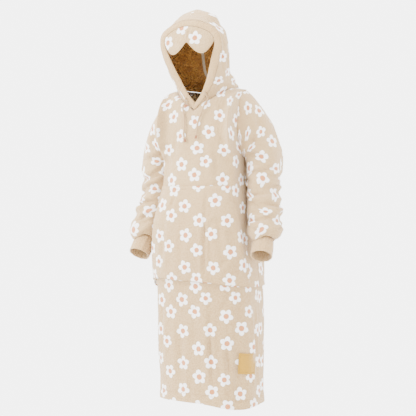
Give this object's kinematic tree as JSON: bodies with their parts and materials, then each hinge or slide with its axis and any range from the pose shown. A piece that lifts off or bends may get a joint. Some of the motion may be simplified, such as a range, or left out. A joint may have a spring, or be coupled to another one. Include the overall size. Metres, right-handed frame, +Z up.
{
  "type": "hooded blanket garment",
  "caption": "Extra-long plush hoodie in its worn form, with a lined hood, an eye-mask flap, drawstrings, a hand pocket and a sewn lower tier.",
  "frame": {"origin": "on the middle plane between the shoulders, level with the shoulder seams, where the wearer's shoulders carry the garment", "axes": "+Z up, the front faces -Y, the wearer's left is +X"},
  "size_m": [0.6372, 0.3871, 1.5262],
  "materials": {
    "fleece": "plush pile with a flower print; bands and cuffs plain",
    "lining": "curly pile",
    "tape": "woven tape",
    "cord": "soft round cord",
    "tip": "bound cord end",
    "label": "woven patch, plain"
  },
  "bodies": {
    "root": {"back_body": "fleece", "back_skirt": "fleece", "cord_tip_left": "tip", "cord_tip_right": "tip", "cuff_left": "fleece", "cuff_right": "fleece", "drawstring_left": "cord", "drawstring_right": "cord", "eye_mask": "fleece", "front_body": "fleece", "front_skirt": "fleece", "hood_band": "fleece", "hood_left": "fleece", "hood_lining_left": "lining", "hood_lining_right": "lining", "hood_right": "fleece", "hood_seam_tape": "tape", "label": "label", "pocket": "fleece", "sleeve_left": "fleece", "sleeve_right": "fleece"}
  },
  "joints": []
}
